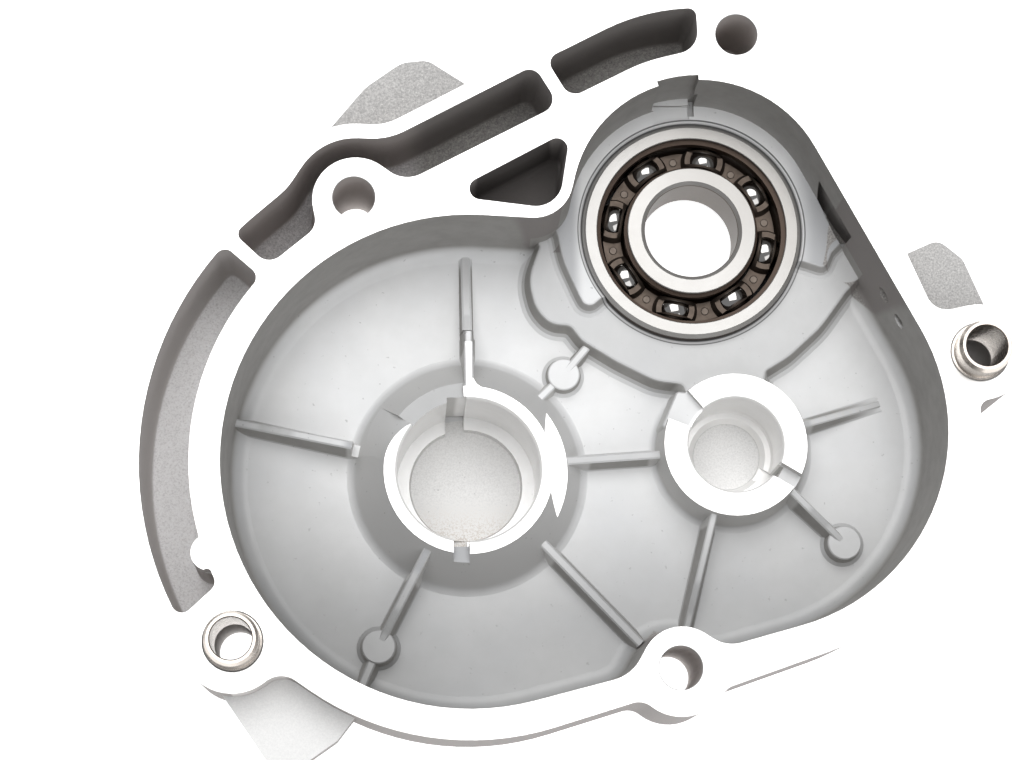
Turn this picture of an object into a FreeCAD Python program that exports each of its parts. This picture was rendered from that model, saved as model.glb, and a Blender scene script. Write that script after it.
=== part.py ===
import FreeCAD, Part
import math
import os
from FreeCAD import Vector as V

os.makedirs("parts", exist_ok=True)

# ---------------------------------------------------------------------------
# Die cast gear case cover with a ball bearing and two hollow dowels.
#
# Layout frame (used below): z = 0 is the machined joint face, the cavity opens
# towards +Z, and x, y are measured from the layout datum of the flange.
# Part frame (exported): the same axes, moved so that the origin lies on the
# output bearing's axis, halfway through the bearing's width.
# All lengths in mm, all angles in degrees.
# ---------------------------------------------------------------------------

# --- shaft axes and fastener positions (layout frame)
A = (-8.5, -16.0)          # input seat axis
B = (47.75, -10.75)        # layshaft seat axis
C = (39.56, 35.97)         # output bearing axis
HOLE1 = (-32.4, 38.4)      # through bolt hole
HOLE2 = (47.8, 73.9)       # blind bolt hole
HOLE3 = (33.5, -58.8)      # through bolt hole
DOWEL_L = (-56.3, -53.1)
DOWEL_R = (96.7, 5.9)
BOSS1 = (-32.0, 37.9)      # centre of the rounded flange about the first hole

# --- levels (layout frame)
RIM_Z = -18.0              # bearing rim, also the bearing's front face
BOSS_Z = -16.0             # machined tops of the two seats
CAST_Z = -17.4             # unmachined part of the seat tops
PAD_B_Z = -18.0            # unmachined pad beside the layshaft seat
PLAT_Z = -21.0             # plateau between the bearing and the layshaft seat
FLOOR_Z = -26.5            # cavity floor
FLANGE_BACK_Z = -27.3      # back of the flange wall
SKIN_Z = -29.6             # outside of the floor skin
REST_Z = -44.5             # outer ends of the hubs that the cover stands on
GEAR_CUT_R = 40.3          # milled gear clearance about B
GEAR_CUT_Z = -21.0

# --- bolt holes and dowels
BOLT_R = 4.4
BLIND_HOLE_Z = -24.0
DOWEL_OD_R = 5.5
DOWEL_SEAT_R = 5.9         # its pressed end
DOWEL_ID_R = 4.2
DOWEL_OUT = 6.9            # height of a dowel over the joint face
DOWEL_IN = 9.0             # depth of its counterbore
DOWEL_CHAMFER_R = 6.2

# --- seats
A_TOP_R, A_FOOT_R, A_BORE_R, A_BORE_Z, A_STEP_R, A_END_Z = 17.75, 24.0, 15.0, -40.0, 12.35, -41.4
B_TOP_R, B_FOOT_R, B_BORE_R, B_BORE_Z, B_STEP_R, B_END_Z = 15.08, 16.3, 10.0, -32.0, 7.35, -33.4

# --- output bearing, 20 x 47 x 14
BRG_OD_R, BRG_ID_R, BRG_W = 23.5, 10.0, 14.0
BALL_R, PITCH_R, N_BALLS = 3.969, 16.75, 8
RACE_GAP = 0.012           # radial play between a ball and each raceway
GROOVE_R = 4.13            # raceway cross-section radius
OUT_SHOULDER_R, OUT_LIP_R = 19.45, 20.3
IN_SHOULDER_R, IN_LIP_R = 14.35, 13.75
CAGE_T, CAGE_IN_R, CAGE_OUT_R, POCKET_R = 0.9, 14.85, 18.6, 4.06
CAGE_H = 2.75              # height at which a pocket opens over its ball
RIVET_R, RIVET_HEAD_R = 0.6, 0.85
BALL_A0 = 33.3             # angle of the first ball about the bearing axis

TO_PART = V(-C[0], -C[1], -RIM_Z + BRG_W / 2.0)


# ---------------------------------------------------------------------------
# outline helpers
# ---------------------------------------------------------------------------
def chain(circs, off=0.0, z=0.0):
    """Closed wire of arcs joined by tangent lines, walked counter-clockwise.
    Each item is (cx, cy, r): r > 0 bulges out, r < 0 bulges in.
    off grows the outline outwards."""
    n = len(circs)
    c = [(x, y, r + off) for x, y, r in circs]
    tan = []
    for i in range(n):
        x1, y1, r1 = c[i]
        x2, y2, r2 = c[(i + 1) % n]
        dx, dy = x2 - x1, y2 - y1
        d = math.hypot(dx, dy)
        s = (r2 - r1) / d
        if abs(s) > 1.0:
            if abs(s) > 1.02:
                raise ValueError("outline circles %d and %d do not reach: %.3f" % (i, (i + 1) % n, s))
            s = math.copysign(1.0, s)
        th = math.atan2(dy, dx) - math.asin(s)
        nx, ny = -math.sin(th), math.cos(th)
        tan.append(((x1 - r1 * nx, y1 - r1 * ny), (x2 - r2 * nx, y2 - r2 * ny)))
    edges = []
    for i in range(n):
        x, y, r = c[i]
        p, q = tan[i - 1][1], tan[i][0]
        a0 = math.atan2(p[1] - y, p[0] - x)
        a1 = math.atan2(q[1] - y, q[0] - x)
        if r > 0:
            while a1 < a0 - 1e-9:
                a1 += 2 * math.pi
        else:
            while a1 > a0 + 1e-9:
                a1 -= 2 * math.pi
        if abs(a1 - a0) * abs(r) > 1e-4:
            am = 0.5 * (a0 + a1)
            ar = abs(r)
            edges.append(Part.Arc(V(p[0], p[1], z),
                                  V(x + ar * math.cos(am), y + ar * math.sin(am), z),
                                  V(q[0], q[1], z)).toShape())
        p, q = tan[i]
        if math.hypot(q[0] - p[0], q[1] - p[1]) > 1e-4:
            edges.append(Part.LineSegment(V(p[0], p[1], z), V(q[0], q[1], z)).toShape())
    w = Part.Wire(Part.__sortEdges__(edges))
    return w


def corners(pts, off=0.0):
    """Rounded polygon, corners (x, y, r) counter-clockwise, as chain circles,
    its sides moved outwards by off."""
    n = len(pts)
    if off:
        moved = []
        for i in range(n):
            (x0, y0), (x, y), (x2, y2) = pts[i - 1][:2], pts[i][:2], pts[(i + 1) % n][:2]
            l1, l2 = math.hypot(x - x0, y - y0), math.hypot(x2 - x, y2 - y)
            n1 = ((y - y0) / l1, -(x - x0) / l1)
            n2 = ((y2 - y) / l2, -(x2 - x) / l2)
            k = off / (1.0 + n1[0] * n2[0] + n1[1] * n2[1])
            convex = (x - x0) * (y2 - y) - (y - y0) * (x2 - x) > 0
            r = pts[i][2] + off if convex else pts[i][2] - off
            moved.append((x + k * (n1[0] + n2[0]), y + k * (n1[1] + n2[1]), max(r, 0.2)))
        pts = moved
    out = []
    for i in range(n):
        x0, y0 = pts[i - 1][:2]
        x, y, r = pts[i]
        x2, y2 = pts[(i + 1) % n][:2]
        ux, uy = x0 - x, y0 - y
        vx, vy = x2 - x, y2 - y
        lu, lv = math.hypot(ux, uy), math.hypot(vx, vy)
        ux, uy, vx, vy = ux / lu, uy / lu, vx / lv, vy / lv
        cross = ux * vy - uy * vx        # < 0: convex when walked counter-clockwise
        half = 0.5 * math.acos(max(-1.0, min(1.0, ux * vx + uy * vy)))
        d = r / math.sin(half)
        bx, by = ux + vx, uy + vy
        lb = math.hypot(bx, by)
        out.append((x + bx / lb * d, y + by / lb * d, r if cross < 0 else -r))
    return out


def prism(circs, z0, z1, off=0.0):
    f = Part.Face(chain(circs, off, z0))
    return f.extrude(V(0, 0, z1 - z0))


def stack(circs, levels, polygon=False):
    """Solid through the outline at several levels: (z, outward offset)."""
    def at(off, z):
        return chain(corners(circs, off), 0.0, z) if polygon else chain(circs, off, z)
    parts = []
    for (za, oa), (zb, ob) in zip(levels[:-1], levels[1:]):
        if abs(oa - ob) < 1e-9:
            parts.append(Part.Face(at(oa, za)).extrude(V(0, 0, zb - za)))
        else:
            parts.append(Part.makeLoft([at(oa, za), at(ob, zb)], True, True))
    s = parts[0]
    if len(parts) > 1:
        s = s.fuse(parts[1:]).removeSplitter()
    return s


def cyl(c, r, z0, z1):
    return Part.makeCylinder(r, z1 - z0, V(c[0], c[1], z0), V(0, 0, 1))


def cone(c, r0, z0, r1, z1):
    return Part.makeCone(r0, r1, z1 - z0, V(c[0], c[1], z0), V(0, 0, 1))


def box(x0, x1, y0, y1, z0, z1):
    return Part.makeBox(x1 - x0, y1 - y0, z1 - z0, V(x0, y0, z0))


def poly_prism(pts, z0, z1):
    w = Part.makePolygon([V(x, y, z0) for x, y in pts] + [V(pts[0][0], pts[0][1], z0)])
    return Part.Face(w).extrude(V(0, 0, z1 - z0))


def sector(c, r0, r1, a0, a1, z0, z1):
    """Annular sector between two radii and two angles."""
    def p(r, a, z):
        return V(c[0] + r * math.cos(math.radians(a)), c[1] + r * math.sin(math.radians(a)), z)
    am = 0.5 * (a0 + a1)
    e = [Part.Arc(p(r1, a0, z0), p(r1, am, z0), p(r1, a1, z0)).toShape(),
         Part.LineSegment(p(r1, a1, z0), p(r0, a1, z0)).toShape(),
         Part.Arc(p(r0, a1, z0), p(r0, am, z0), p(r0, a0, z0)).toShape(),
         Part.LineSegment(p(r0, a0, z0), p(r1, a0, z0)).toShape()]
    return Part.Face(Part.Wire(e)).extrude(V(0, 0, z1 - z0))


def radial_box(c, ang, r0, r1, w, z0, z1):
    """Bar of width w from radius r0 to r1 at an angle about c."""
    b = Part.makeBox(r1 - r0, w, z1 - z0, V(r0, -w / 2.0, z0))
    b.rotate(V(0, 0, 0), V(0, 0, 1), ang)
    b.translate(V(c[0], c[1], 0))
    return b


def turned(c, items):
    """Solid of revolution about the axis through c. items: (r, z), or
    (r, z, rm, zm) for an arc that ends at (r, z) through (rm, zm)."""
    edges = []
    n = len(items)
    for i in range(n):
        a, b = items[i], items[(i + 1) % n]
        p, q = V(a[0], 0, a[1]), V(b[0], 0, b[1])
        if p.distanceToPoint(q) < 1e-7:
            continue
        if len(b) == 4:
            edges.append(Part.Arc(p, V(b[2], 0, b[3]), q).toShape())
        else:
            edges.append(Part.LineSegment(p, q).toShape())
    f = Part.Face(Part.Wire(edges))
    s = f.revolve(V(0, 0, 0), V(0, 0, 1), 360)
    s.translate(V(c[0], c[1], 0))
    if s.Volume < 0:
        s = s.reversed()
    return s


def rib(p0, z0, p1, z1, top_w, foot_w, base_z, flare=0.9):
    """Cast rib with a flared foot; p0, p1 are plan points, z0, z1 its top."""
    dx, dy = p1[0] - p0[0], p1[1] - p0[1]
    d = math.hypot(dx, dy)
    nx, ny = -dy / d, dx / d

    def sec(p, zt):
        h = zt - base_z
        fz = base_z + min(1.3, 0.45 * h)
        hw, fw = top_w / 2.0, foot_w / 2.0
        pr = [(-hw * 0.62, zt), (hw * 0.62, zt), (hw, zt - 0.3), (fw, fz), (fw + flare * 0.35, base_z + 0.25 * (fz - base_z)),
              (fw + flare, base_z - 0.4), (-fw - flare, base_z - 0.4),
              (-fw - flare * 0.35, base_z + 0.25 * (fz - base_z)), (-fw, fz), (-hw, zt - 0.3)]
        pts = [V(p[0] + nx * u, p[1] + ny * u, z) for u, z in pr]
        return Part.makePolygon(pts + [pts[0]])
    s = Part.makeLoft([sec(p0, z0), sec(p1, z1)], True, True)
    if s.Volume < 0:
        s = s.reversed()
    return s


def fillet_where(shape, r, test):
    es = [e for e in shape.Edges if test(e)]
    if not es:
        return shape
    for k in (1.0, 0.75, 0.5):
        try:
            f = shape.makeFillet(r * k, es)
            if f.isValid() and f.Volume > 0:
                return f
        except Exception:
            pass
    print("fillet left out:", r, len(es))
    return shape


def flat_edge(e, z):
    return all(abs(v.Point.z - z) < 1e-5 for v in e.Vertexes) and abs(e.valueAt(0.5 * (e.FirstParameter + e.LastParameter)).z - z) < 1e-5


def upright(e):
    if len(e.Vertexes) != 2:
        return False
    a, b = e.Vertexes[0].Point, e.Vertexes[1].Point
    return math.hypot(a.x - b.x, a.y - b.y) < 0.8 and abs(a.z - b.z) > 3.0


# ---------------------------------------------------------------------------
# outlines (layout frame)
# ---------------------------------------------------------------------------
CAVITY = [(39.8, 36.9, 27.1), (4.74, 42.46, -8.3), (A[0], A[1], 50.8), (17.9, -52.9, 8.5),
          (33.9, -58.9, -8.4), (43.95, -47.05, 7.0), (46.91, -9.26, 42.64)]

OUTER = [(HOLE2[0], HOLE2[1], 9.8), (39.8, 36.9, 45.9), (-28.5, 64.94, -11.0), (BOSS1[0], BOSS1[1], 16.2),
         (-56.8, 49.35, -10.9), (A[0], A[1], 70.0), (DOWEL_L[0], DOWEL_L[1], 10.4), (-46.56, -64.94, -4.9),
         (A[0], A[1], 57.0), (24.9, -69.6, -4.0), (HOLE3[0], HOLE3[1], 9.8), (45.3, -66.2, -4.0),
         (46.91, -9.26, 49.3), (98.6, -6.3, -2.3), (DOWEL_R[0], DOWEL_R[1], 10.0), (90.2, 19.2, -4.4),
         (98.3, 50.2, -24.0), (39.8, 36.9, 35.5), (59.7, 69.9, -2.8)]

P2 = [(-28.5, 64.94, -14.0), (BOSS1[0], BOSS1[1], 13.15), (-56.8, 49.35, -13.9), (A[0], A[1], 67.1),
      (-54.27, 30.58, 1.8), (-49.67, 28.46, 3.4), (A[0], A[1], -57.1), (-44.2, 33.6, 3.9),
      (BOSS1[0], BOSS1[1], -8.95), (-21.36, 48.9, 6.2), (5.77, 59.67, 3.2), (4.11, 63.2, 2.8)]
P3 = [(-6.2, 40.3, 2.3), (5.2, 42.3, 5.7), (9.7, 48.9, 2.3)]
P4 = [(39.8, 36.9, 42.75), (10.95, 67.4, 2.4), (13.75, 63.8, 3.0), (39.8, 36.9, -32.8),
      (34.8, 74.4, 4.8), (37.7, 77.85, 1.75)]
POCKET_Z = -22.5

# edge of the plateau, up to where it runs into the cavity wall
PLATEAU = [(7.2, 33.0, 1.0), (4.7, 26.0, 10.0), (6.2, 19.6, 8.0), (9.3, 16.2, 5.0), (13.6, 15.9, 2.5),
           (16.0, 12.6, 6.0), (23.6, 7.9, 30.0), (31.6, 3.9, 10.0), (37.6, 3.1, 2.0), (39.5, -4.0, 1.5),
           (54.0, -2.0, 1.5), (55.0, 6.0, 1.5), (60.2, 9.2, 14.0), (67.2, 15.6, 20.0), (73.0, 23.5, 10.0),
           (84.0, 35.0, 1.5), (84.0, 66.0, 4.0), (20.0, 75.0, 4.0), (2.0, 55.0, 4.0)]
# edge of the bearing rim: open towards the layshaft seat
RIM = [(11.0, 34.5, 2.0), (11.9, 29.5, 20.0), (15.2, 22.0, 14.0), (16.9, 18.6, 1.8), (21.3, 22.4, 1.5),
       (40.0, 25.0, 3.0), (61.0, 30.1, 1.5), (68.0, 27.8, 1.3), (69.5, 31.3, 1.5), (73.2, 35.0, 1.5),
       (84.0, 36.5, 1.5), (84.0, 66.0, 4.0), (20.0, 75.0, 4.0), (4.0, 55.0, 4.0)]


# ---------------------------------------------------------------------------
# housing
# ---------------------------------------------------------------------------
def make_housing():
    wall = prism(OUTER, FLANGE_BACK_Z, 0.0)
    wall = fillet_where(wall, 1.2, lambda e: flat_edge(e, FLANGE_BACK_Z))

    # outer lugs under the flange
    lug_top = stack(corners([(-6.5, 63.9, 3.5), (-17.0, 70.7, 4.0), (-22.5, 70.1, 6.0), (-30.2, 64.6, 12.0), (-38.5, 54.5, 2.5), (-30.0, 46.0, 3.0), (-12.0, 54.0, 3.0)]),
                    [(-27.3, -0.6), (-9.0, 0.0)])
    lug_top = lug_top.fuse(cone((-21.0, 57.2), 9.4, REST_Z, 10.6, -26.0))
    lug_bl = stack(corners([(-61.0, -60.0, 3.0), (-47.0, -80.5, 5.5), (-35.5, -72.5, 3.0), (-29.0, -64.0, 2.0),
                            (-46.0, -50.0, 3.0)]), [(-27.3, -0.6), (-9.0, 0.0)])
    web_r = stack(corners([(78.5, 24.5, 2.0), (85.0, 12.0, 2.0), (102.0, 11.0, 2.0), (95.3, 27.0, 4.0), (90.2, 31.2, 3.0), (81.5, 27.3, 1.2)]),
                  [(-27.3, -0.6), (-6.5, 0.0)])

    # skin under the floor and the three outer hubs
    skin = stack(CAVITY, [(SKIN_Z, -1.2), (FLANGE_BACK_Z + 0.2, 0.6)])
    hub_a = turned(A, [(0, -27.4), (0, REST_Z), (17.6, REST_Z), (18.6, REST_Z + 1.0), (20.6, SKIN_Z - 2.5),
                       (23.2, SKIN_Z, 21.4, SKIN_Z - 0.7), (23.2, -27.4)])
    hub_b = turned(B, [(0, -27.4), (0, -36.6), (12.0, -36.6), (13.0, -35.6), (13.8, SKIN_Z - 2.0),
                       (15.8, SKIN_Z, 14.4, SKIN_Z - 0.6), (15.8, -27.4)])
    hub_c = turned(C, [(0, -27.4), (0, REST_Z), (22.6, REST_Z), (23.8, REST_Z + 1.2), (25.6, SKIN_Z - 2.5),
                       (27.6, SKIN_Z, 26.2, SKIN_Z - 0.7), (27.6, -27.4)])
    # outer stiffening ribs between the hubs
    def out_rib(p, q, w, z0, z1, short=0.0):
        dx, dy = q[0] - p[0], q[1] - p[1]
        d = math.hypot(dx, dy)
        q = (q[0] - dx / d * short, q[1] - dy / d * short)
        nx, ny = -dy / d * w / 2, dx / d * w / 2
        return poly_prism([(p[0] + nx, p[1] + ny), (p[0] - nx, p[1] - ny), (q[0] - nx, q[1] - ny), (q[0] + nx, q[1] + ny)], z0, z1)
    ribs_out = [out_rib(A, C, 3.2, -36.0, -27.4), out_rib(A, B, 3.2, -34.5, -27.4), out_rib(B, C, 3.2, -34.5, -27.4),
                out_rib(A, (-21.0, 57.2), 3.2, -36.0, -27.4),
                out_rib(A, DOWEL_L, 3.2, -33.5, -27.0, 11.0), out_rib(A, HOLE3, 3.2, -33.5, -27.0, 9.5),
                out_rib(B, DOWEL_R, 3.2, -32.5, -27.0, 12.0)]
    # the ribs end inside the flange
    keep = prism(OUTER, -37.0, -27.0, -2.5)
    ribs_out = [r.common(keep) for r in ribs_out[4:]] + ribs_out[:4]

    body = wall.fuse([lug_top, lug_bl, web_r, skin, hub_a, hub_b, hub_c] + ribs_out)

    # cavity with its rounded foot
    cav = stack(CAVITY, [(FLOOR_Z, -0.7), (0.0, 0.0)])
    cav = fillet_where(cav, 3.6, lambda e: flat_edge(e, FLOOR_Z))
    body = body.cut(cav)

    # pockets of the flange
    p1 = cone(A, 66.6, POCKET_Z, 67.1, 0.0).cut(cone(A, 57.6, POCKET_Z, 57.1, 0.0))
    p1 = p1.common(sector(A, 50.0, 72.0, 138.8, 212.5, POCKET_Z, 0.0))
    p1 = p1.cut(poly_prism([(-70.0, -51.4), (-56.0, -38.4), (-50.0, -50.0), (-62.0, -62.0)], POCKET_Z - 1.0, 1.0))
    p1 = fillet_where(p1, 2.2, upright)
    p1 = fillet_where(p1, 1.8, lambda e: flat_edge(e, POCKET_Z))
    p1 = p1.cut(cone((-61.3, -35.2), 4.1, POCKET_Z - 1, 3.6, 1.0))
    p1 = p1.fuse(cyl((-61.6, -39.5), 1.0, -5.0, 0.0))
    tools = [p1]
    for circs, zb in ((P2, POCKET_Z), (P3, -15.0), (P4, POCKET_Z)):
        p = stack(circs, [(zb, -0.6), (0.0, 0.0)])
        p = fillet_where(p, 1.5, lambda e: flat_edge(e, zb))
        tools.append(p)
    body = body.cut(tools)

    # features that stand on the floor, kept inside the cavity
    inside = prism(CAVITY, -28.0, -10.0, 0.8)
    plateau = stack(PLATEAU, [(-28.0, 2.6), (FLOOR_Z + 0.0, 2.6), (FLOOR_Z + 0.35, 1.75), (FLOOR_Z + 1.2, 1.15), (PLAT_Z - 0.5, 0.25), (PLAT_Z - 0.12, 0.05), (PLAT_Z, -0.3)], True).common(inside)
    rim = stack(RIM, [(-28.0, 2.2), (PLAT_Z, 2.2), (PLAT_Z + 0.3, 1.4), (PLAT_Z + 0.9, 0.95), (RIM_Z - 0.4, 0.2), (RIM_Z - 0.1, 0.03), (RIM_Z, -0.25)], True).common(inside)

    boss_a = turned(A, [(0, -28.5), (0, BOSS_Z), (A_TOP_R, BOSS_Z), (23.6, -25.0), (26.6, FLOOR_Z, 24.6, -26.1), (26.6, -28.5)])
    boss_b = turned(B, [(0, -28.5), (0, BOSS_Z), (B_TOP_R, BOSS_Z), (15.95, -24.6), (18.0, FLOOR_Z, 16.5, -26.0), (18.0, -28.5)])

    fz = FLOOR_Z
    ribs = [
        rib((-24.5, -12.4), -17.0, (-58.2, -4.8), -22.5, 1.7, 2.6, fz),
        rib((-16.0, -30.5), -17.0, (-27.3, -52.4), -22.2, 1.8, 2.6, fz),
        rib((-27.3, -52.4), -22.2, (-31.2, -61.5), -22.6, 1.8, 2.6, fz),
        rib((5.5, -28.9), -21.9, (27.6, -52.0), -22.6, 1.9, 2.7, fz),
        rib((11.0, -13.5), -21.3, (34.5, -11.9), -21.3, 1.7, 2.5, fz),
        rib((43.6, -23.0), -17.4, (36.9, -50.3), -22.4, 1.5, 2.4, fz),
        rib((58.0, -18.6), -18.5, (71.2, -30.8), -22.8, 1.6, 2.5, fz),
        rib((60.2, -6.6), -20.3, (80.3, -0.3), -26.3, 1.5, 2.8, fz),
        rib((-8.3, 0.0), BOSS_Z, (-8.4, 11.3), BOSS_Z, 1.9, 2.5, fz, 0.7),
        rib((-8.4, 11.0), BOSS_Z - 0.5, (-8.4, 13.7), BOSS_Z - 0.9, 1.5, 2.5, fz, 0.7),
        rib((-8.55, 14.6), -20.4, (-8.75, 32.0), -26.3, 2.1, 2.7, fz, 0.2),
        rib((-8.45, 12.5), -21.6, (-8.55, 15.5), -21.6, 1.7, 2.6, fz, 0.3),
        rib((6.2, -0.2), -23.6, (12.1, 5.6), -23.6, 1.7, 2.3, fz, 0.5),
        rib((12.1, 5.6), -23.4, (17.6, 12.0), -22.6, 1.7, 2.3, fz, 0.5),
    ]
    discs = []
    for (x, y, r, z) in ((-27.3, -52.4, 3.55, -21.9), (71.2, -30.8, 3.6, -22.6), (12.1, 5.6, 3.45, -23.3)):
        discs.append(turned((x, y), [(0, -28.0), (0, z), (r - 0.25, z), (r, z - 0.25), (r + 0.35, FLOOR_Z + 0.7), (r + 1.1, FLOOR_Z), (r + 1.1, -28.0)]))
    ribs = [r.common(inside) for r in ribs]
    # web between the seat's ring and its upper rib
    ribs.append(poly_prism([(-8.0, 3.4), (-8.0, 1.2), (-5.4, 1.2), (-6.1, 1.75), (-6.7, 2.2), (-7.1, 2.75), (-7.35, 3.4)], -24.0, BOSS_Z))
    pad_b = stack([(35.7, 0.9, 0.8), (32.2, -7.0, 0.8), (37.0, -7.2, 0.3), (42.5, -7.0, 0.3), (42.5, -2.0, 0.3), (39.0, 0.6, 0.8)], [(-28.0, 1.0), (-25.5, 0.6), (PAD_B_Z - 0.3, 0.0), (PAD_B_Z, -0.3)], True)
    body = body.fuse([plateau, rim, boss_a, boss_b, pad_b] + ribs + discs)

    # milled gear clearance about the layshaft seat
    ring = cyl(B, GEAR_CUT_R, GEAR_CUT_Z, -10.0).cut(cyl(B, 17.5, GEAR_CUT_Z - 1, -9.0))
    reach = cyl(A, 30.0, GEAR_CUT_Z - 1, -9.0)
    body = body.cut(ring.common(reach))

    cuts = []
    # input seat: bore, shoulder, end recess, oil grooves, unmachined part of its top
    cuts.append(turned(A, [(0, A_END_Z), (A_STEP_R - 0.4, A_END_Z), (A_STEP_R, A_BORE_Z), (A_BORE_R, A_BORE_Z),
                           (A_BORE_R, BOSS_Z - 0.5), (A_BORE_R + 0.45, BOSS_Z + 0.05), (A_BORE_R + 0.45, -10.0), (0, -10.0)]))
    cuts.append(sector(A, 14.0, 30.0, 93.4, 141.5, CAST_Z, -10.0))
    # its machined ring narrows towards the unmachined part
    taper = (A[0] - 7.65, A[1] + 0.67)
    def ring(c, r, z):
        return Part.Wire([Part.Circle(V(c[0], c[1], z), V(0, 0, 1), r).toShape()])
    keep = Part.makeLoft([ring(taper, 10.07, BOSS_Z), ring(A, 23.65, -25.0)], True, True)
    cuts.append(sector(A, 15.2, 25.0, 141.5, 177.0, -24.9, -10.0).cut([keep, cyl(taper, 10.07, BOSS_Z - 0.01, -9.0)]))
    cuts.append(box(-13.0, -8.9, -16.0 + 10.5, -16.0 + 15.5, A_END_Z, -10.0))
    cuts.append(box(-11.7, -8.3, -31.95, -28.0, A_END_Z, -10.0))
    cuts.append(box(-11.7, -8.3, -40.0, -31.0, -18.4, -10.0))
    # layshaft seat
    cuts.append(turned(B, [(0, B_END_Z), (B_STEP_R - 0.25, B_END_Z), (B_STEP_R + 1.0, B_BORE_Z), (B_BORE_R - 0.5, B_BORE_Z), (B_BORE_R, B_BORE_Z + 0.5),
                           (B_BORE_R, BOSS_Z - 0.4), (B_BORE_R + 0.35, BOSS_Z + 0.05), (B_BORE_R + 0.35, -10.0), (0, -10.0)]))
    cuts.append(sector(B, 9.0, 20.0, 130.5, 158.5, PAD_B_Z, -10.0))
    cuts.append(radial_box(B, -31.0, 6.0, 11.2, 3.0, B_BORE_Z - 1.0, -10.0))
    cuts.append(radial_box(B, -31.0, 9.0, 22.0, 3.3, -19.0, -10.0))
    # output bearing seat, its back lip, the seal recess and the shaft opening
    cuts.append(turned(C, [(0, -46.0), (16.5, -46.0), (16.5, -38.0), (13.2, -37.5), (13.2, -34.0), (19.8, -34.0), (19.8, RIM_Z - BRG_W),
                           (BRG_OD_R, RIM_Z - BRG_W), (BRG_OD_R, RIM_Z - 0.9), (BRG_OD_R + 0.55, RIM_Z - 0.35), (BRG_OD_R + 0.95, RIM_Z - 0.3),
                           (BRG_OD_R + 1.0, RIM_Z + 0.0), (BRG_OD_R + 1.0, -17.0), (0, -17.0)]))
    # oil notch in the cavity wall over the bearing and its gutter in the rim
    cuts.append(sector((39.8, 36.9), 25.0, 28.15, 90.3, 108.6, -17.4, 1.0))
    cuts.append(box(31.7, 39.5, 58.0, 63.4, RIM_Z - 0.45, -10.0).cut(cyl(C, 24.6, -20.0, -9.0)))
    cuts.append(box(39.2, 40.5, 61.2, 65.0, -19.9, -10.0))
    # gutter along the foot of the right wall and its end recess
    cuts.append(poly_prism([(64.2, 49.4), (66.4, 43.8), (68.8, 38.3), (70.1, 35.3), (71.5, 32.9), (73.4, 32.4), (75.4, 33.2), (73.4, 35.4), (71.3, 38.4), (69.2, 42.2), (65.4, 49.4)], -25.0, -10.0))
    cuts.append(Part.makeSphere(2.2, V(74.5, 33.4, -15.5)))
    # two shallow round marks in the right wall
    nv = V(0.873, 0.487, 0)
    for (x, y, r, d) in ((79.6, 20.5, 1.9, 0.7), (82.7, 14.9, 1.8, 0.5)):
        cuts.append(Part.makeCylinder(r, 1.4 + d, V(x, y, -11.0) - nv * 1.4, nv))
    # bolt holes
    for h, zb in ((HOLE1, -30.0), (HOLE3, -30.0), (HOLE2, BLIND_HOLE_Z)):
        cuts.append(cyl(h, BOLT_R, zb, 1.0))
        cuts.append(cone(h, BOLT_R, -0.15, BOLT_R + 0.2, 0.05))
    # dowel counterbores and the clearance holes through them
    for d in (DOWEL_L, DOWEL_R):
        cuts.append(cyl(d, BOLT_R - 0.2, -30.0, 1.0))
        cuts.append(cyl(d, DOWEL_SEAT_R, -DOWEL_IN, 1.0))
        cuts.append(cone(d, DOWEL_SEAT_R, -(DOWEL_CHAMFER_R - DOWEL_SEAT_R), DOWEL_CHAMFER_R, 0.0))
    body = body.cut(cuts)
    if len(body.Solids) > 1:
        body.Solids.sort(key=lambda s: s.Volume)
        print("housing pieces:", [round(s.Volume, 2) for s in body.Solids])
        body = max(body.Solids, key=lambda s: s.Volume)
    else:
        body = body.Solids[0]
    return body


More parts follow.
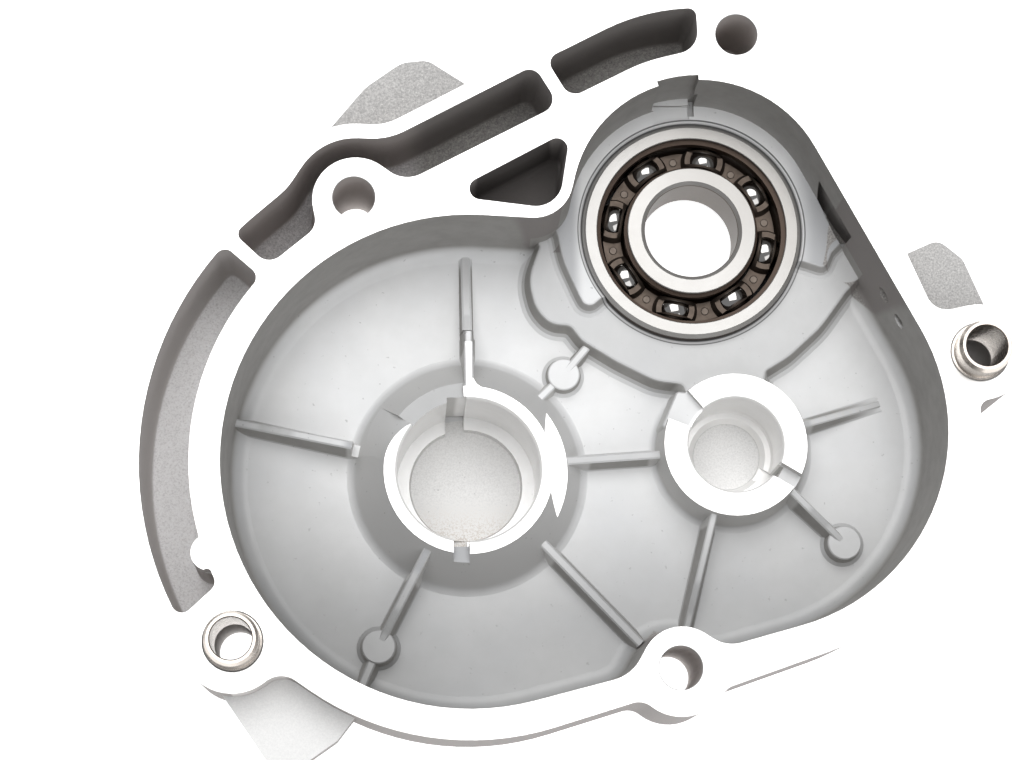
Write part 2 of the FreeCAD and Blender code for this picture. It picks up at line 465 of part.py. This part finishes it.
# ---------------------------------------------------------------------------
# bearing
# ---------------------------------------------------------------------------
def make_bearing():
    zt, zb = RIM_Z, RIM_Z - BRG_W
    zm = 0.5 * (zt + zb)
    # outer ring
    ro = PITCH_R + BALL_R + RACE_GAP            # bottom of the outer raceway
    co = ro - GROOVE_R
    h = math.sqrt(GROOVE_R ** 2 - (OUT_SHOULDER_R - co) ** 2)
    outer = turned(C, [
        (BRG_OD_R - 0.8, zt), (BRG_OD_R, zt - 0.8), (BRG_OD_R, zb + 0.8), (BRG_OD_R - 0.8, zb), (OUT_LIP_R + 0.15, zb),
        (OUT_LIP_R, zb + 0.15), (OUT_LIP_R, zb + 0.75), (OUT_LIP_R + 0.45, zb + 0.9), (OUT_LIP_R + 0.45, zb + 1.5), (OUT_SHOULDER_R, zb + 1.75),
        (OUT_SHOULDER_R, zm - h), (OUT_SHOULDER_R, zm + h, ro, zm), (OUT_SHOULDER_R, zt - 1.75), (OUT_LIP_R + 0.45, zt - 1.5),
        (OUT_LIP_R + 0.45, zt - 0.9), (OUT_LIP_R, zt - 0.75), (OUT_LIP_R, zt - 0.15), (OUT_LIP_R + 0.15, zt)])
    # inner ring
    ri = PITCH_R - BALL_R - RACE_GAP            # bottom of the inner raceway
    ci = ri + GROOVE_R
    h = math.sqrt(GROOVE_R ** 2 - (ci - IN_SHOULDER_R) ** 2)
    inner = turned(C, [
        (BRG_ID_R + 0.85, zb), (IN_LIP_R - 0.15, zb), (IN_LIP_R, zb + 0.15), (IN_LIP_R, zb + 0.7), (IN_LIP_R - 0.5, zb + 0.95),
        (IN_LIP_R - 0.5, zb + 1.6), (IN_SHOULDER_R, zb + 1.9), (IN_SHOULDER_R, zm - h), (IN_SHOULDER_R, zm + h, ri, zm),
        (IN_SHOULDER_R, zt - 1.9), (IN_LIP_R - 0.5, zt - 1.6), (IN_LIP_R - 0.5, zt - 0.95), (IN_LIP_R, zt - 0.7), (IN_LIP_R, zt - 0.15),
        (IN_LIP_R - 0.15, zt), (BRG_ID_R + 0.85, zt), (BRG_ID_R, zt - 0.85), (BRG_ID_R, zb + 0.85)])
    balls = []
    for i in range(N_BALLS):
        a = math.radians(BALL_A0 + 360.0 / N_BALLS * i)
        balls.append(Part.makeSphere(BALL_R, V(C[0] + PITCH_R * math.cos(a), C[1] + PITCH_R * math.sin(a), zm)))
    # pressed cage: two halves that meet at mid width, riveted between the balls
    band = cyl(C, CAGE_OUT_R, zm - 6, zm + 6).cut(cyl(C, CAGE_IN_R, zm - 7, zm + 7))
    halves = []
    for sgn in (1, -1):
        zlo, zhi = (zm, zm + 6) if sgn > 0 else (zm - 6, zm)
        half_space = box(C[0] - 30, C[0] + 30, C[1] - 30, C[1] + 30, zlo, zhi)
        flat = cyl(C, CAGE_OUT_R, *((zm, zm + CAGE_T) if sgn > 0 else (zm - CAGE_T, zm)))
        cups, holes = [], []
        for i in range(N_BALLS):
            a = math.radians(BALL_A0 + 360.0 / N_BALLS * i)
            p = V(C[0] + PITCH_R * math.cos(a), C[1] + PITCH_R * math.sin(a), zm)
            cups.append(Part.makeSphere(POCKET_R + CAGE_T, p))
            # the pocket is open over the ball but for a strip along each edge
            holes.append(radial_box(C, math.degrees(a), CAGE_IN_R + 0.42, CAGE_OUT_R - 0.42, 9.4, *((zm + CAGE_H, zm + 6) if sgn > 0 else (zm - 6, zm - CAGE_H))))
            holes.append(Part.makeSphere(POCKET_R, p))
            a = math.radians(BALL_A0 + 360.0 / N_BALLS * (i + 0.5))
            holes.append(cyl((C[0] + PITCH_R * math.cos(a), C[1] + PITCH_R * math.sin(a)), RIVET_R + 0.02, zm - 6, zm + 6))
        s = flat.fuse(cups).common(half_space).common(band).cut(holes)
        halves.append(s.Solids[0] if len(s.Solids) == 1 else s)
    rivets = []
    for i in range(N_BALLS):
        a = math.radians(BALL_A0 + 360.0 / N_BALLS * (i + 0.5))
        c = (C[0] + PITCH_R * math.cos(a), C[1] + PITCH_R * math.sin(a))
        t, hh = CAGE_T, 0.18
        rivet = cyl(c, RIVET_R, zm - t - 0.1, zm + t + 0.1).fuse([
            cyl(c, RIVET_HEAD_R, zm + t, zm + t + 0.1), cone(c, RIVET_HEAD_R, zm + t + 0.1, RIVET_HEAD_R - 0.15, zm + t + hh),
            cyl(c, RIVET_HEAD_R, zm - t - 0.1, zm - t), cone(c, RIVET_HEAD_R - 0.15, zm - t - hh, RIVET_HEAD_R, zm - t - 0.1)])
        rivets.append(rivet.Solids[0])
    return outer, inner, balls, halves, Part.makeCompound(rivets)


def make_dowel(c):
    t = DOWEL_OUT
    b = -DOWEL_IN + 0.2
    return turned(c, [(DOWEL_ID_R, b + 0.4), (DOWEL_ID_R + 0.4, b), (DOWEL_SEAT_R - 0.5, b), (DOWEL_SEAT_R, b + 0.8), (DOWEL_SEAT_R, 0.1),
                      (DOWEL_OD_R, 0.2), (DOWEL_OD_R, t - 1.2), (DOWEL_OD_R - 0.55, t), (DOWEL_ID_R + 0.2, t), (DOWEL_ID_R, t - 0.3)])


def export(name, shape):
    s = shape.copy()
    s.translate(TO_PART)
    if not s.isValid():
        print("not valid:", name)
    bb = s.BoundBox
    print("%-20s solids %d faces %4d vol %10.2f  x %.1f..%.1f y %.1f..%.1f z %.1f..%.1f" % (
        name, len(s.Solids), len(s.Faces), s.Volume, bb.XMin, bb.XMax, bb.YMin, bb.YMax, bb.ZMin, bb.ZMax))
    s.exportStep("parts/%s.step" % name)


export("housing", make_housing())
outer, inner, balls, halves, rivets = make_bearing()
export("bearing_outer_ring", outer)
export("bearing_inner_ring", inner)
for i, b in enumerate(balls):
    export("ball_%d" % (i + 1), b)
export("cage_front", halves[0])
export("cage_back", halves[1])
export("cage_rivets", rivets)
export("dowel_left", make_dowel(DOWEL_L))
export("dowel_right", make_dowel(DOWEL_R))
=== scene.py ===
import math
import bpy
from mathutils import Matrix, Vector


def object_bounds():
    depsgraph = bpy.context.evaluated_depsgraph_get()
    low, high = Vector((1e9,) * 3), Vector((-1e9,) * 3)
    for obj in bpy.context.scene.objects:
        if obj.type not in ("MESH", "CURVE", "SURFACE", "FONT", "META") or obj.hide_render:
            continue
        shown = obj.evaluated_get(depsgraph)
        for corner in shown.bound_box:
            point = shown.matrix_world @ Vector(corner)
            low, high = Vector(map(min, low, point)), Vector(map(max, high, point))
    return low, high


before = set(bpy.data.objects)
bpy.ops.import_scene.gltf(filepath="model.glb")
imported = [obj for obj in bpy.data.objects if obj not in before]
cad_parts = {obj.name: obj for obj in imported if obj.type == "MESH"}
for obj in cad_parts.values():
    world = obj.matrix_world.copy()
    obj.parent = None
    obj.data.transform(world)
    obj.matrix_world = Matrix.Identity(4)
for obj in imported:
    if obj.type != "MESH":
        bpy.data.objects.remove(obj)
cad_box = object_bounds()

MM = 0.001
# axes of the cover in the row frame, mm: input seat, layshaft seat, bearing pocket wall
A = (-48.06, -51.97)
B = (8.19, -46.72)
CW = (0.24, 0.93)
BW = (7.35, -45.23)
JOINT_Z, RIM_Z, BOSS_Z, CAST_Z, PLAT_Z, FLOOR_Z = 25.0, 7.0, 9.0, 7.6, 4.0, -1.5


# ---------------------------------------------------------------------------
# node helpers
# ---------------------------------------------------------------------------
class Mat:
    def __init__(self, name):
        self.m = bpy.data.materials.new(name)
        self.m.use_nodes = True
        self.nt = self.m.node_tree
        for n in list(self.nt.nodes):
            self.nt.nodes.remove(n)
        self.out = self.n("ShaderNodeOutputMaterial")
        self.bsdf = self.n("ShaderNodeBsdfPrincipled")
        self.l(self.bsdf.outputs[0], self.out.inputs[0])

    def n(self, kind, **kw):
        x = self.nt.nodes.new(kind)
        for k, v in kw.items():
            setattr(x, k, v)
        return x

    def l(self, a, b):
        self.nt.links.new(a, b)

    def put(self, sock, v):
        if hasattr(v, "is_linked"):
            self.l(v, sock)
        elif isinstance(v, (tuple, list)) and len(v) == 3 and sock.type == "RGBA":
            sock.default_value = (v[0], v[1], v[2], 1)
        else:
            sock.default_value = v

    def math(self, op, a, b=0.0, c=0.0, clamp=False):
        x = self.n("ShaderNodeMath", operation=op)
        x.use_clamp = clamp
        self.put(x.inputs[0], a)
        self.put(x.inputs[1], b)
        if op in ("MULTIPLY_ADD", "SMOOTH_MIN", "SMOOTH_MAX", "COMPARE", "WRAP"):
            self.put(x.inputs[2], c)
        return x.outputs[0]

    def step(self, v, lo, hi, a=0.0, b=1.0):
        """a below lo, b above hi, smooth between."""
        x = self.n("ShaderNodeMapRange", interpolation_type="SMOOTHSTEP")
        x.clamp = True
        self.put(x.inputs["Value"], v)
        for k, q in (("From Min", lo), ("From Max", hi), ("To Min", a), ("To Max", b)):
            self.put(x.inputs[k], q)
        return x.outputs[0]

    def mix(self, f, a, b, mode="MIX"):
        x = self.n("ShaderNodeMix", data_type="RGBA", blend_type=mode)
        self.put(x.inputs[0], f)
        self.put(x.inputs[6], a)
        self.put(x.inputs[7], b)
        return x.outputs[2]

    def mixf(self, f, a, b):
        x = self.n("ShaderNodeMix", data_type="FLOAT")
        self.put(x.inputs[0], f)
        self.put(x.inputs[2], a)
        self.put(x.inputs[3], b)
        return x.outputs[0]

    def noise(self, vec, scale, detail=3.0, rough=0.55, out="Fac", dist=0.0):
        x = self.n("ShaderNodeTexNoise")
        self.put(x.inputs["Vector"], vec)
        x.inputs["Scale"].default_value = scale
        x.inputs["Detail"].default_value = detail
        x.inputs["Roughness"].default_value = rough
        x.inputs["Distortion"].default_value = dist
        return x.outputs[out]

    def ramp(self, v, stops):
        x = self.n("ShaderNodeValToRGB")
        r = x.color_ramp
        while len(r.elements) < len(stops):
            r.elements.new(0.5)
        for e, (p, c) in zip(r.elements, stops):
            e.position = p
            e.color = (c, c, c, 1) if not isinstance(c, tuple) else (c[0], c[1], c[2], 1)
        self.put(x.inputs[0], v)
        return x.outputs[0]

    def bump(self, h, dist, strength=1.0, normal=None):
        x = self.n("ShaderNodeBump")
        self.put(x.inputs["Height"], h)
        x.inputs["Distance"].default_value = dist
        self.put(x.inputs["Strength"], strength)
        if normal is not None:
            self.l(normal, x.inputs["Normal"])
        return x.outputs[0]

    def coords(self):
        t = self.n("ShaderNodeTexCoord")
        s = self.n("ShaderNodeVectorMath", operation="SCALE")
        self.l(t.outputs["Object"], s.inputs[0])
        s.inputs["Scale"].default_value = 1000.0
        sep = self.n("ShaderNodeSeparateXYZ")
        self.l(s.outputs[0], sep.inputs[0])
        g = self.n("ShaderNodeNewGeometry")
        gn = self.n("ShaderNodeSeparateXYZ")
        self.l(g.outputs["Normal"], gn.inputs[0])
        self.p = s.outputs[0]
        self.x, self.y, self.z = sep.outputs
        self.nx, self.ny, self.nz = gn.outputs
        self.geo = g

    def dist(self, c):
        dx = self.math("SUBTRACT", self.x, c[0])
        dy = self.math("SUBTRACT", self.y, c[1])
        return self.math("SQRT", self.math("ADD", self.math("MULTIPLY", dx, dx), self.math("MULTIPLY", dy, dy)))

    def at(self, v, level, tol):
        """1 where |v - level| < tol."""
        d = self.math("ABSOLUTE", self.math("SUBTRACT", v, level))
        return self.step(d, tol * 0.7, tol * 1.3, 1.0, 0.0)

    def both(self, *v):
        r = v[0]
        for q in v[1:]:
            r = self.math("MULTIPLY", r, q)
        return r

    def either(self, *v):
        r = v[0]
        for q in v[1:]:
            r = self.math("MAXIMUM", r, q)
        return r

    def inv(self, v):
        return self.math("SUBTRACT", 1.0, v)


# ---------------------------------------------------------------------------
# cast and machined aluminium of the housing
# ---------------------------------------------------------------------------
def cast_material():
    k = Mat("cast_aluminium")
    k.coords()
    dA, dB, dC = k.dist(A), k.dist(B), k.dist((0.0, 0.0))
    dBW, dCW = k.dist(BW), k.dist(CW)
    up = k.step(k.nz, 0.90, 0.97)
    steep = k.step(k.math("ABSOLUTE", k.nz), 0.25, 0.8, 1.0, 0.0)

    # machined zones: joint face, seat tops, gear clearance, bores, bearing seat
    joint = k.both(up, k.at(k.z, JOINT_Z, 0.25))
    tops = k.both(up, k.at(k.z, BOSS_Z, 0.25), k.step(k.math("MINIMUM", dA, k.math("ADD", dB, 2.0)), 27.5, 28.5, 1.0, 0.0))
    clear = k.both(up, k.at(k.z, PLAT_Z, 0.12), k.step(dA, 24.0, 25.0, 1.0, 0.0), k.step(k.x, -36.0, -35.0))
    pad = k.both(up, k.at(k.z, CAST_Z, 0.3), k.step(dA, 26.0, 27.0, 1.0, 0.0))
    bores = k.either(k.both(k.step(dA, 15.6, 15.8, 1.0, 0.0), k.step(k.z, -15.2, -14.9), k.inv(pad)),
                     k.both(k.step(dB, 10.5, 10.6, 1.0, 0.0), k.step(k.z, -8.6, -8.4), k.inv(k.both(k.step(dB, 7.2, 7.3, 1.0, 0.0), k.step(k.z, -8.0, -7.9, 1.0, 0.0)))))
    seatC = k.both(k.step(dC, 24.5, 24.6, 1.0, 0.0), k.step(k.z, -12.0, -11.9))
    machined = k.either(joint, tops, clear, bores)

    # the hollows outside the cavity: grainy
    rn = k.math("ADD", k.math("MULTIPLY", k.math("SUBTRACT", k.x, CW[0]), 0.9827), k.math("MULTIPLY", k.math("SUBTRACT", k.y, CW[1]), -0.1852))
    ru = k.math("ADD", k.math("MULTIPLY", k.math("SUBTRACT", k.x, CW[0]), 0.1522), k.math("MULTIPLY", k.math("SUBTRACT", k.y, CW[1]), -0.9883))
    strip = k.both(k.step(rn, 28.6, 28.9, 1.0, 0.0), k.step(rn, 0.0, 1.0), k.step(ru, -1.0, 0.0), k.step(ru, 46.0, 47.0, 1.0, 0.0))
    inside = k.either(k.step(dA, 51.0, 51.4, 1.0, 0.0), k.step(dBW, 42.8, 43.2, 1.0, 0.0), k.step(dCW, 28.9, 29.1, 1.0, 0.0), strip,
                      k.step(k.dist((-21.66, -88.87)), 9.0, 9.3, 1.0, 0.0), k.step(k.dist((4.39, -83.02)), 7.4, 7.6, 1.0, 0.0),
                      k.both(k.step(k.dist((33.6, -6.0)), 4.6, 4.8, 1.0, 0.0), k.step(k.z, 8.0, 8.4, 1.0, 0.0)),
                      k.both(k.step(k.dist((-31.4, -1.4)), 3.2, 3.4, 1.0, 0.0), k.step(k.z, 8.0, 8.4, 1.0, 0.0)))
    grainy = k.both(k.inv(inside), k.step(k.z, 24.4, 24.7, 1.0, 0.0))
    left_pocket = k.both(grainy, k.step(dA, 56.4, 56.8), k.step(k.x, -86.0, -84.0, 1.0, 0.0), k.step(k.y, -7.0, -6.0, 1.0, 0.0), k.step(dA, 67.4, 67.8, 1.0, 0.0))
    lugs = k.both(grainy, up, k.step(k.z, 14.0, 15.0))
    lug_low = k.both(lugs, k.step(k.y, -80.0, -70.0, 1.0, 0.0))
    holes = k.both(k.either(k.step(k.dist((-71.96, 2.43)), 4.6, 4.7, 1.0, 0.0), k.step(k.dist((8.24, 37.93)), 4.6, 4.7, 1.0, 0.0),
                            k.step(k.dist((-6.06, -94.77)), 4.6, 4.7, 1.0, 0.0)), k.inv(joint))
    ends = k.either(k.both(k.step(dA, 14.6, 14.8, 1.0, 0.0), k.step(k.z, -15.3, -15.1, 1.0, 0.0)),
                    k.both(k.step(dB, 7.2, 7.3, 1.0, 0.0), k.step(k.z, -8.0, -7.9, 1.0, 0.0)))
    # painted shade inside the deep pocket at x -47..-29, y 2..15
    pocket_painted_shade = k.both(grainy, k.step(k.x, -47.0, -46.0), k.step(k.x, -29.0, -28.0, 1.0, 0.0), k.step(k.y, 2.0, 3.0), k.step(k.y, 14.5, 15.0, 1.0, 0.0))
    cones = k.both(k.step(k.math("MINIMUM", dA, k.math("ADD", dB, 8.0)), 25.5, 26.5, 1.0, 0.0), steep, k.step(k.z, 8.6, 8.9, 1.0, 0.0))
    plat = k.both(up, k.at(k.z, PLAT_Z, 0.6))
    rim = k.both(k.step(k.z, 6.2, 6.6), k.step(k.z, 7.3, 7.6, 1.0, 0.0), up)

    # painted light and shade in the skin over the cavity: lighter in the upper left, darker low down, at the far
    # left and to the right; the plateau and the pad are darker too
    low = k.step(k.y, -88.0, -46.0, 0.0, 1.0)
    left = k.step(k.math("ADD", k.x, k.math("MULTIPLY", k.math("ADD", k.y, 36.0), 0.5)), -104.0, -70.0, 0.0, 1.0)
    right = k.step(k.x, 12.0, 48.0, 1.0, 0.0)
    painted_light_shade = k.both(k.mixf(low, 0.60, 1.0), k.mixf(left, 0.68, 1.0), k.mixf(right, 0.88, 1.0), k.mixf(plat, 1.0, 0.77), k.mixf(pad, 1.0, 0.62))

    # colours
    big = k.noise(k.p, 0.035, 3.0, 0.6)
    mid = k.noise(k.p, 0.25, 4.0, 0.6)
    fine = k.noise(k.p, 3.2, 3.0, 0.7)
    grain = k.noise(k.p, 2.6, 4.0, 0.8)
    floor_c = k.mix(k.ramp(big, [(0.3, 0.0), (0.7, 1.0)]), (0.685, 0.69, 0.695), (0.76, 0.76, 0.755))
    floor_c = k.mix(k.ramp(mid, [(0.35, 0.0), (0.75, 0.3)]), floor_c, (0.62, 0.62, 0.61))
    # painted shade on the rim at the foot of the cavity wall: on the right and left parts, faint at the top
    rim_painted_shade = k.both(rim, k.either(k.math("MULTIPLY", k.step(k.y, 14.0, 24.0), 0.15), k.step(k.x, 20.0, 27.0), k.step(k.x, -26.0, -23.0, 1.0, 0.0)))
    # the floor colour is multiplied by the painted light and shade
    floor_c = k.mix(1.0, floor_c, k.ramp(painted_light_shade, [(0.0, 0.0), (1.0, 1.0)]), "MULTIPLY")
    floor_c = k.mix(k.math("MULTIPLY", rim_painted_shade, 0.85), floor_c, (0.36, 0.365, 0.375))
    # painted shade: steep walls of the cast skin are coloured darker than the floor; the cone slopes by the
    # bosses are painted lighter
    wall_shaded_c = k.mix(k.ramp(mid, [(0.3, 0.0), (0.7, 1.0)]), (0.31, 0.30, 0.285), (0.37, 0.36, 0.345))
    wall_shaded_c = k.mix(k.math("MULTIPLY", cones, 0.8), wall_shaded_c, (0.66, 0.655, 0.64))
    skin = k.mix(steep, floor_c, wall_shaded_c)
    grit = k.ramp(grain, [(0.36, (0.22, 0.21, 0.205)), (0.5, (0.34, 0.325, 0.31)), (0.68, (0.56, 0.54, 0.51))])
    # painted shade: steep walls in the grainy hollows are coloured darker than their floors, here and in the far
    # and left pockets below
    dull = k.mix(steep, grit, (0.28, 0.26, 0.25))
    far = k.both(k.step(k.x, -62.0, -56.0, 1.0, 0.0), k.step(k.y, -12.0, -10.0))
    dull = k.mix(far, dull, k.mix(steep, k.ramp(grain, [(0.36, (0.36, 0.345, 0.345)), (0.5, (0.54, 0.52, 0.52)), (0.68, (0.78, 0.755, 0.75))]), (0.42, 0.385, 0.37)))
    pale = k.ramp(grain, [(0.34, (0.70, 0.69, 0.69)), (0.5, (0.93, 0.92, 0.92)), (0.66, (1.0, 1.0, 1.0))])
    dull = k.mix(k.both(left_pocket, k.inv(steep)), dull, pale)
    dull = k.mix(lugs, dull, k.ramp(grain, [(0.34, (0.34, 0.335, 0.33)), (0.5, (0.52, 0.51, 0.50)), (0.66, (0.72, 0.71, 0.69))]))
    # the deep pocket is painted almost black as shade
    dull = k.mix(pocket_painted_shade, dull, (0.115, 0.105, 0.10))
    # painted shade on the walls of the left pocket
    dull = k.mix(k.both(left_pocket, steep), dull, (0.56, 0.535, 0.52))
    dull = k.mix(k.math("MULTIPLY", lug_low, 0.75), dull, (0.98, 0.98, 0.97))
    dull = k.mix(holes, dull, (0.55, 0.51, 0.49))
    body = k.mix(grainy, skin, dull)
    end_c = k.ramp(grain, [(0.35, (0.66, 0.655, 0.645)), (0.6, (0.80, 0.795, 0.785))])
    body = k.mix(ends, body, end_c)
    rust = k.both(ends, k.step(dA, 16.0, 16.1, 1.0, 0.0), k.step(k.y, A[1] - 13.0, A[1] - 1.0, 1.0, 0.0), k.ramp(grain, [(0.47, 0.0), (0.56, 1.0)]))
    body = k.mix(k.math("MULTIPLY", rust, 0.8), body, (0.44, 0.39, 0.34))
    # painted shadow lines at the bearing seat: dark lines in the gap by the ring and outside the chamfer, a
    # lighter chamfer band between; the gap is partly real geometry
    seat_shadow_lines = k.ramp(k.math("DIVIDE", k.math("SUBTRACT", dC, 23.0), 2.0), [(0.0, 0.10), (0.36, 0.10), (0.44, 0.55), (0.60, 0.55), (0.66, 0.14), (0.74, 0.20), (0.8, 0.5)])
    body = k.mix(seatC, body, seat_shadow_lines)
    bright = k.mix(k.ramp(mid, [(0.3, 0.0), (0.8, 1.0)]), (0.93, 0.925, 0.915), (0.88, 0.87, 0.855))
    col = k.mix(machined, body, bright)
    # specks and dirt in the cast skin
    spots = k.ramp(k.noise(k.p, 0.9, 2.0, 0.5), [(0.71, 0.0), (0.77, 1.0)])
    col = k.mix(k.both(spots, k.inv(machined), k.math("MULTIPLY", k.inv(grainy), 0.45)), col, (0.25, 0.245, 0.24))
    k.l(col, k.bsdf.inputs["Base Color"])

    rough = k.mixf(machined, k.mixf(grainy, k.mixf(steep, 0.50, 0.58), 0.8), 0.32)
    k.l(rough, k.bsdf.inputs["Roughness"])
    k.l(k.mixf(bores, k.mixf(machined, k.mixf(grainy, 0.2, 0.1), 0.75), 0.25), k.bsdf.inputs["Metallic"])

    h_cast = k.math("ADD", k.math("MULTIPLY", fine, 0.35), k.math("MULTIPLY", mid, 0.8))
    h_grain = k.math("MULTIPLY", grain, k.mixf(steep, 2.2, 0.7))
    n1 = k.bump(k.mixf(grainy, h_cast, h_grain), 0.00006, k.mixf(machined, 0.5, 0.0))
    # lathe marks round each seat, milling arcs on the joint face
    lathe = k.math("SINE", k.math("MULTIPLY", k.mixf(k.step(dA, 30.0, 31.0), dA, dB), 24.0))
    mill = k.math("SINE", k.math("MULTIPLY", k.dist((-210.0, 60.0)), 7.0))
    marks = k.mixf(joint, lathe, mill)
    n2 = k.bump(marks, 0.000004, k.math("MULTIPLY", machined, 0.25), n1)
    k.l(n2, k.bsdf.inputs["Normal"])
    return k.m


def steel(name, base, rough, turned=0.0, stain=(0.5, 0.5, 0.5), stain_amt=0.2, metallic=1.0, centre=(0.0, 0.0)):
    k = Mat(name)
    k.coords()
    n = k.noise(k.p, 0.3, 3.0, 0.6)
    col = k.mix(k.math("MULTIPLY", k.ramp(n, [(0.35, 0.0), (0.75, 1.0)]), stain_amt), base, stain)
    k.l(col, k.bsdf.inputs["Base Color"])
    k.bsdf.inputs["Metallic"].default_value = metallic
    k.l(k.mixf(k.ramp(k.noise(k.p, 0.8, 3.0, 0.6), [(0.3, 0.0), (0.8, 1.0)]), rough, rough * 1.35), k.bsdf.inputs["Roughness"])
    if turned:
        d = k.dist(centre)
        s = k.math("SINE", k.math("MULTIPLY", k.math("ADD", d, k.math("MULTIPLY", k.z, 0.7)), 30.0))
        k.l(k.bump(s, 0.000003, turned), k.bsdf.inputs["Normal"])
    return k.m


def ring_material(name, lit_from, lit_to):
    """Ground face between two radii, lighter at the lower left and darker at the upper right as painted light;
    painted dark shade elsewhere.
    """
    k = Mat(name)
    k.coords()
    d = k.dist((0.0, 0.0))
    face = k.both(k.step(d, lit_from - 0.1, lit_from + 0.1), k.step(d, lit_to - 0.05, lit_to + 0.15, 1.0, 0.0), k.step(k.math("ABSOLUTE", k.z), 6.0, 6.2))
    n = k.noise(k.p, 0.3, 3.0, 0.6)
    # painted light on the ground face: lower left lighter, upper right darker
    upper = k.step(k.math("ADD", k.x, k.y), -6.0, 22.0)
    lit = k.mix(upper, (0.43, 0.42, 0.405), (0.33, 0.32, 0.305))
    lit = k.mix(k.ramp(n, [(0.35, 0.0), (0.75, 0.2)]), lit, (0.30, 0.28, 0.26))
    # painted dark brown shade on the surfaces off the ground face, a little lighter in the bore
    ring_painted_shade = k.mix(k.step(d, 10.3, 10.6), (0.20, 0.175, 0.155), (0.055, 0.035, 0.024))
    k.l(k.mix(face, ring_painted_shade, lit), k.bsdf.inputs["Base Color"])
    k.l(k.mixf(face, 0.55, 0.5), k.bsdf.inputs["Metallic"])
    k.l(k.mixf(face, 0.42, 0.27), k.bsdf.inputs["Roughness"])
    w = k.math("SINE", k.math("MULTIPLY", k.math("ADD", d, k.math("MULTIPLY", k.z, 0.7)), 30.0))
    k.l(k.bump(w, 0.000003, 0.4), k.bsdf.inputs["Normal"])
    return k.m


def paint(node, mat):
    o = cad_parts[node]
    if not o.data.materials:
        o.data.materials.append(mat)
    for i in range(len(o.data.materials)):
        o.data.materials[i] = mat


cast = cast_material()
ring_o = ring_material("outer_ring_steel", 20.3, 23.6)
ring_i = ring_material("inner_ring_steel", 10.15, 13.75)
ball = steel("ball_steel", (0.40, 0.39, 0.38), 0.07, 0.0, (0.34, 0.32, 0.30), 0.2)
cage = steel("cage_steel", (0.10, 0.078, 0.063), 0.40, 0.0, (0.07, 0.055, 0.045), 0.6, 0.85)
rivet = steel("rivet_steel", (0.125, 0.103, 0.086), 0.36, 0.0, (0.09, 0.07, 0.06), 0.5, 0.85)
dowel_l = steel("dowel_steel_left", (0.60, 0.55, 0.50), 0.24, 0.4, (0.45, 0.40, 0.36), 0.5, 1.0, (-95.86, -89.07))
dowel_r = steel("dowel_steel_right", (0.60, 0.55, 0.50), 0.24, 0.4, (0.45, 0.40, 0.36), 0.5, 1.0, (57.14, -30.07))

paint("housing", cast)
paint("bearing_outer_ring", ring_o)
paint("bearing_inner_ring", ring_i)
for i in range(8):
    paint("ball_%d" % (i + 1), ball)
paint("cage_front", cage)
paint("cage_back", cage)
paint("cage_rivets", rivet)
paint("dowel_left", dowel_l)
paint("dowel_right", dowel_r)

# ---------------------------------------------------------------------------
# camera at the photograph's viewing angle
# ---------------------------------------------------------------------------
rx, ry = math.radians(-10.6), math.radians(-2.49)
Rx = Matrix(((1, 0, 0), (0, math.cos(rx), -math.sin(rx)), (0, math.sin(rx), math.cos(rx))))
Ry = Matrix(((math.cos(ry), 0, math.sin(ry)), (0, 1, 0), (-math.sin(ry), 0, math.cos(ry))))
R = Ry @ Rx @ Matrix(((1, 0, 0), (0, -1, 0), (0, 0, -1)))
x_ax, y_ax, z_ax = Vector(R[0]), -Vector(R[1]), -Vector(R[2])
eye = z_ax * (546.2 * MM) + Vector((-39.56, -35.97, 25.0)) * MM
cam_data = bpy.data.cameras.new("camera")
cam_data.sensor_width = 36.0
cam_data.lens = 93.98
cam_data.clip_start = 0.01
cam_data.clip_end = 50.0
cam = bpy.data.objects.new("camera", cam_data)
bpy.context.collection.objects.link(cam)
cam.matrix_world = Matrix(((x_ax.x, y_ax.x, z_ax.x, eye.x), (x_ax.y, y_ax.y, z_ax.y, eye.y),
                           (x_ax.z, y_ax.z, z_ax.z, eye.z), (0, 0, 0, 1)))
bpy.context.scene.camera = cam

# ---------------------------------------------------------------------------
# floor, lights, world
# ---------------------------------------------------------------------------
low = cad_box[0][2]
bpy.ops.mesh.primitive_plane_add(size=6.0, location=(-0.02, -0.03, low - 0.0002))
floor = bpy.context.object
floor.name = "floor"
fm = Mat("floor_white")
fm.coords()
fm.bsdf.inputs["Base Color"].default_value = (0.93, 0.93, 0.93, 1)
fm.bsdf.inputs["Roughness"].default_value = 0.8
fm.bsdf.inputs["Specular IOR Level"].default_value = 0.2
fm.bsdf.inputs["Emission Color"].default_value = (1, 1, 1, 1)
fm.bsdf.inputs["Emission Strength"].default_value = 0.8
floor.data.materials.append(fm.m)


def area(name, loc, target, size, power, size_y=None, colour=(1, 1, 1)):
    d = bpy.data.lights.new(name, "AREA")
    d.shape = "RECTANGLE"
    d.size = size
    d.size_y = size_y or size
    d.energy = power
    d.color = colour
    o = bpy.data.objects.new(name, d)
    bpy.context.collection.objects.link(o)
    o.location = loc
    v = Vector(target) - Vector(loc)
    o.rotation_euler = v.to_track_quat("-Z", "Y").to_euler()
    return o


area("top_soft", (-0.08, 0.30, 0.95), (-0.02, -0.03, 0.0), 0.9, 8.0, 0.9)
area("front_soft", (0.35, -0.75, 0.75), (-0.02, -0.03, 0.0), 0.7, 2.6, 0.7)

w = bpy.data.worlds.new("studio")
bpy.context.scene.world = w
w.use_nodes = True
bg = w.node_tree.nodes["Background"]
bg.inputs[0].default_value = (0.93, 0.94, 0.96, 1)
bg.inputs[1].default_value = 0.42
bpy.context.scene.view_settings.view_transform = "Standard"
